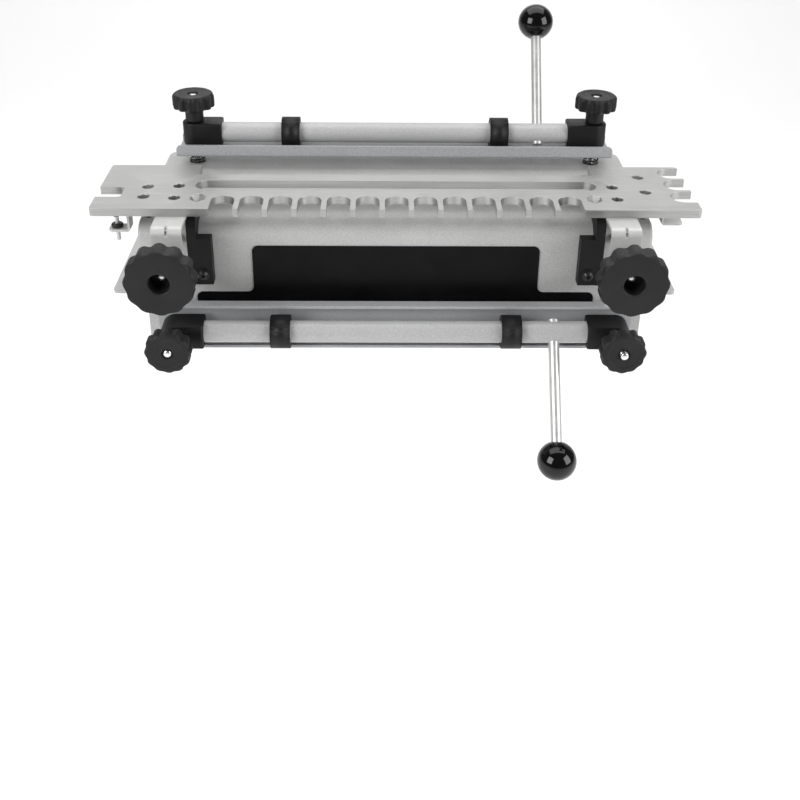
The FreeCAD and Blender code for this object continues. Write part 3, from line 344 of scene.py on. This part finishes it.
def knob(node, outline, lobes, depth, direction, origin):
    """A lobed moulded knob turned round its own axis.  The outline runs bore, back, rim, face, bore."""
    rows = [lobed_ring(*point, lobes, depth) for point in rounded(outline)]
    bm = bmesh.new()
    made = tube(bm, in_millimetres(rows, aim(direction, origin)))
    around = len(made[0])
    for k in range(around):
        n = (k + 1) % around
        bm.faces.new((made[-1][k], made[-1][n], made[0][n], made[0][k]))
    settle(from_bmesh("vis_" + node, bm, degrees=40), node)


STUD_RADIUS = 3.175
STUD_STEPS = 28
PITCH = 1.27
THREAD_DEPTH = 0.55
STEPS_PER_PITCH = 6
RUN_OUT = 6
STUD_TIP = 0.3
# The stud's head, as radius and height above the head's seat.
STUD_HEAD = ((STUD_TIP, -3.0), (4.4, -3.0), (6.6, -2.0), (7.5, -0.9), (7.5, 0.0), (3.1, 0.0))


def threaded(node, spans):
    """Bright studs with a rolled thread.  spans lists (origin, direction, start, end, has a head) in mm."""
    bm = bmesh.new()
    step = PITCH / STEPS_PER_PITCH
    for origin, direction, start, end, head in spans:
        rows = []
        if head:
            rows += [ring(r, start + z, STUD_STEPS) for r, z in STUD_HEAD]
        count = int((end - start - 1.0) / step)
        for i in range(count + 1):
            z = start + i * step
            fade = min(1.0, i / RUN_OUT, (count - i) / RUN_OUT)
            row = []
            for k in range(STUD_STEPS):
                turn = (z / PITCH - k / STUD_STEPS) % 1.0
                r = STUD_RADIUS - THREAD_DEPTH * (1 - abs(2 * turn - 1)) * fade
                angle = 2 * math.pi * k / STUD_STEPS
                row.append(Vector((r * math.cos(angle), r * math.sin(angle), z)))
            rows.append(row)
        for r, z in ((STUD_RADIUS - 0.15, end - 0.6), (STUD_RADIUS - 0.8, end), (STUD_TIP, end)):
            rows.append(ring(r, z, STUD_STEPS))
        skin(bm, in_millimetres(rows, aim(direction, origin)))
    settle(from_bmesh("vis_" + node, bm, degrees=50), node)


COIL_RADIUS = 6.35
WIRE = 0.72
COIL_TURNS = 3.6
STEPS_PER_TURN = 36
WIRE_STEPS = 12
# The part of the spring, at each end, that lies flat.
CLOSED_END = 0.16


def coil(node, spans):
    """Round-wire compression springs with closed ends.  spans lists (origin, direction, length) in mm."""
    bm = bmesh.new()
    for origin, direction, length in spans:
        steps = int(COIL_TURNS * STEPS_PER_TURN)
        rows = []
        for i in range(steps + 1):
            t = i / steps
            climb = min(max((t - CLOSED_END) / (1.0 - 2 * CLOSED_END), 0.0), 1.0)
            rise = WIRE + (length - 2 * WIRE) * climb
            angle = 2 * math.pi * COIL_TURNS * t
            out = Vector((math.cos(angle), math.sin(angle), 0))
            spine = out * COIL_RADIUS + Vector((0, 0, rise))
            row = []
            for k in range(WIRE_STEPS):
                about = 2 * math.pi * k / WIRE_STEPS
                row.append(spine + out * (WIRE * math.cos(about)) + Vector((0, 0, WIRE * math.sin(about))))
            rows.append(row)
        skin(bm, in_millimetres(rows, aim(direction, origin)))
    settle(from_bmesh("vis_" + node, bm, degrees=60), node)


BALL_RADIUS = 15.35
BALL_FLAT = 6.0
BALL_BORE = 4.42
BALL_ROWS = 56
BALL_STEPS = 96


def ball(node, origin, direction):
    """Polished ball knob with a small flat where the rod goes in."""
    start = math.asin(BALL_FLAT / BALL_RADIUS)
    foot = -math.cos(start) * BALL_RADIUS + 0.02
    rows = [ring(BALL_BORE, foot, BALL_STEPS), ring(BALL_FLAT - 0.4, foot, BALL_STEPS)]
    for i in range(BALL_ROWS):
        angle = start + (math.pi - start) * i / BALL_ROWS
        rows.append(ring(BALL_RADIUS * math.sin(angle), -BALL_RADIUS * math.cos(angle), BALL_STEPS))
    rows.append(ring(0.05, BALL_RADIUS, BALL_STEPS))
    bm = bmesh.new()
    skin(bm, in_millimetres(rows, aim(direction, origin)))
    settle(from_bmesh("vis_" + node, bm, degrees=50), node)


# ---- the jig -----------------------------------------------------------------------------------

# How far each piece's sharp edges are broken, in mm.
EASED = {
    "base_shell": 0.35, "nameplate": 0.25, "stop_left": 0.6, "stop_right": 0.6,
    "stop_screws": 0.2, "stop_washers": 0.12, "template_stop_nuts": 0.4,
    "template_plate": 0.3, "template_bracket_left": 0.35, "template_bracket_right": 0.35,
    "bracket_screws": 0.2, "gauge_clip_left": 0.3, "gauge_clip_right": 0.3,
    "gauge_screw": 0.25, "gauge_lock_nut": 0.25, "gauge_clip_screws": 0.25,
}
for clamp in ("top", "front"):
    for part, width in (("block_left", 0.35), ("block_right", 0.35), ("cam_tube", 0.3), ("cam_left", 0.7),
                        ("cam_right", 0.7), ("lever_rod", 0.6), ("clamp_bar", 0.5)):
        EASED["%s_%s" % (clamp, part)] = width
for node, width in EASED.items():
    eased(node, width)
GAUGE_HEAD_FOOT = 0.0752
two_tone("gauge_screw", "black_steel", GAUGE_HEAD_FOOT)

UP, OUT = Vector((0, 0, 1)), Vector((0, -1, 0))
LEFT_AND_RIGHT = (-1, 1)
KNOB_LOBES = 12
SMALL_LOBE_DEPTH = 1.9
LARGE_LOBE_DEPTH = 2.4
# Each knob's outline as radius, height above its axis or bracket, share of the lobes' depth, and corner.
SMALL_KNOB = (
    (3.3, 10.8, 0, 0), (7.2, 10.8, 0, 0.3), (7.8, 11.4, 0, 0.3), (7.8, 23.0, 0, 0.8), (17.2, 23.0, 1, 0.3),
    (18.0, 23.9, 1, 0.5), (18.0, 31.2, 1, 0), (17.9, 32.4, 0.9, 0), (17.5, 33.4, 0.65, 0),
    (16.8, 34.4, 0.35, 0), (15.6, 35.15, 0.05, 0.4), (12.0, 35.1, 0, 0.3),
    (11.6, 34.8, 0, 0.3), (4.6, 34.8, 0, 0.5), (4.3, 33.4, 0, 0.3), (3.3, 33.4, 0, 0),
)
LARGE_KNOB = (
    (3.3, 0.3, 0, 0), (11.0, 0.3, 0, 0.5), (11.5, 1.0, 0, 0.5), (12.2, 23.2, 0, 1.6), (24.8, 23.2, 1, 0.8),
    (26.35, 24.9, 1, 1.2), (26.35, 36.0, 1, 0), (26.2, 37.8, 0.85, 0), (25.8, 39.0, 0.6, 0),
    (24.9, 40.1, 0.32, 0.3), (20.0, 40.1, 0, 0.3), (8.5, 40.1, 0, 0.6),
    (7.8, 39.3, 0, 0.5), (7.8, 26.4, 0, 0.3), (3.3, 26.2, 0, 0),
)
# Distances in mm from a cam tube's axis: along the lever to the ball's middle, and along the studs to
# the panel that the springs stand on.
BALL_REACH = 100.5
PANEL = {"top": -27.1, "front": -28.7}
SPRING_LENGTH = {"top": 10.75 - 0.15, "front": 11.64 - 0.15}
for clamp, direction in (("top", UP), ("front", OUT)):
    axis = centre(clamp + "_cam_tube")
    for side in ("left", "right"):
        node = "%s_knob_%s" % (clamp, side)
        at = Vector((centre(node).x, axis.y, axis.z))
        knob(node, SMALL_KNOB, KNOB_LOBES, SMALL_LOBE_DEPTH, direction, at)
    root = Vector((centre(clamp + "_lever_rod").x, axis.y, axis.z))
    lever = (centre(clamp + "_lever_ball") - root).normalized()
    ball(clamp + "_lever_ball", root + lever * BALL_REACH * MM, lever)
    stud_x = abs(centre(clamp + "_knob_left").x)
    feet = [Vector((side * stud_x, axis.y, axis.z)) + direction * PANEL[clamp] * MM
            for side in LEFT_AND_RIGHT]
    coil(clamp + "_springs", [(foot, direction, SPRING_LENGTH[clamp]) for foot in feet])

# Each stud's start and end in mm, from the cam tube's axis or, for the template's, from y = 0.
TOP_STUD = (-29.6, 34.0)
FRONT_STUD_LEFT = (-31.2, 35.0)
FRONT_STUD_RIGHT = (-31.2, 38.0)
TEMPLATE_STUD = (79.0, 155.5)
top_axis, front_axis = centre("top_cam_tube"), centre("front_cam_tube")
stud_x = abs(centre("top_knob_left").x)
top_feet = [Vector((side * stud_x, top_axis.y, top_axis.z)) for side in LEFT_AND_RIGHT]
threaded("top_studs", [(foot, UP, *TOP_STUD, True) for foot in top_feet])
front_left, front_right = [Vector((side * stud_x, front_axis.y, front_axis.z)) for side in LEFT_AND_RIGHT]
threaded("front_stud_left", [(front_left, OUT, *FRONT_STUD_LEFT, True)])
threaded("front_stud_right", [(front_right, OUT, *FRONT_STUD_RIGHT, True)])

wheel_x = abs(centre("template_bracket_left").x)
stud_z = centre("template_studs").z
template_feet = [Vector((side * wheel_x, 0, stud_z)) for side in LEFT_AND_RIGHT]
threaded("template_studs", [(foot, OUT, *TEMPLATE_STUD, False) for foot in template_feet])
bracket_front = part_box("template_bracket_left")[0][1]
for side, sign in zip(("left", "right"), LEFT_AND_RIGHT):
    at = Vector((sign * wheel_x, bracket_front, stud_z))
    knob("template_knob_" + side, LARGE_KNOB, KNOB_LOBES, LARGE_LOBE_DEPTH, OUT, at)


# ---- stage -------------------------------------------------------------------------------------

FLOOR_Z = -0.45
WALL_Y = 2.6
SWEEP = 0.8
FLOOR_FRONT = -3.5
WALL_TOP = 4.0
HALF_WIDTH = 4.5
SWEEP_STEPS = 16


def stage_floor():
    """A pale sweep well below the jig, turning up behind it."""
    bend = WALL_Y - SWEEP
    outline = [(FLOOR_FRONT, FLOOR_Z), (bend, FLOOR_Z)]
    for k in range(1, SWEEP_STEPS + 1):
        angle = math.pi / 2 * k / SWEEP_STEPS
        outline.append((bend + SWEEP * math.sin(angle), FLOOR_Z + SWEEP - SWEEP * math.cos(angle)))
    outline.append((WALL_Y, WALL_TOP))
    bm = bmesh.new()
    rows = [[bm.verts.new((x, y, z)) for y, z in outline] for x in (-HALF_WIDTH, HALF_WIDTH)]
    for k in range(len(outline) - 1):
        bm.faces.new((rows[0][k], rows[1][k], rows[1][k + 1], rows[0][k + 1]))
    obj = from_bmesh("stage_floor", bm, degrees=60)
    s = Shader("stage_pale", (0.93, 0.93, 0.93), roughness=0.7, specular=0.1)
    s.tone(s.noise(scale=2.0), dark=0.99, light=1.0)
    obj.data.materials.append(s.material)
    SCENE.collection.objects.link(obj)


def area_light(name, at, towards, size, power):
    """A softbox at one point that faces another.  Sizes are in metres and power in watts."""
    light = bpy.data.lights.new(name, "AREA")
    light.shape = "RECTANGLE"
    light.size, light.size_y = size
    light.energy = power
    obj = bpy.data.objects.new(name, light)
    obj.matrix_world = aim(Vector(at) - Vector(towards), Vector(at))
    SCENE.collection.objects.link(obj)


stage_floor()
MIDDLE = (0.0, -0.03, 0.03)
# Two softboxes at the camera's sides, and one wide dim box over the sweep.
area_light("left_box", (-1.25, -1.13, 0.72), MIDDLE, size=(1.0, 1.1), power=25.0)
area_light("right_box", (1.45, -0.88, 0.60), MIDDLE, size=(1.0, 1.2), power=22.0)
area_light("overhead", (0.0, 0.9, 2.6), (0.0, 0.9, -0.3), size=(4.2, 2.8), power=88.0)

world = bpy.data.worlds.new("studio")
world.use_nodes = True
world.node_tree.nodes["Background"].inputs["Color"].default_value = (1.0, 1.0, 1.0, 1.0)
world.node_tree.nodes["Background"].inputs["Strength"].default_value = 0.12
SCENE.world = world
SCENE.view_settings.view_transform = "Standard"

camera = bpy.data.cameras.new("camera")
camera.sensor_width = 36.0
camera.lens = 50.3
camera.shift_y = -0.15
camera.clip_start, camera.clip_end = 0.05, 30.0
eye = bpy.data.objects.new("camera", camera)
EYE_AT = (-0.0119, -0.8747, 0.4376)
RIGHT, ABOVE, AHEAD = (0.9998, -0.0141, 0.0103), (-0.003, 0.464, 0.886), (0.017, 0.886, -0.464)
facing = Matrix((RIGHT, ABOVE, tuple(-v for v in AHEAD))).transposed().to_4x4()
eye.matrix_world = Matrix.Translation(EYE_AT) @ facing
SCENE.collection.objects.link(eye)
SCENE.camera = eye
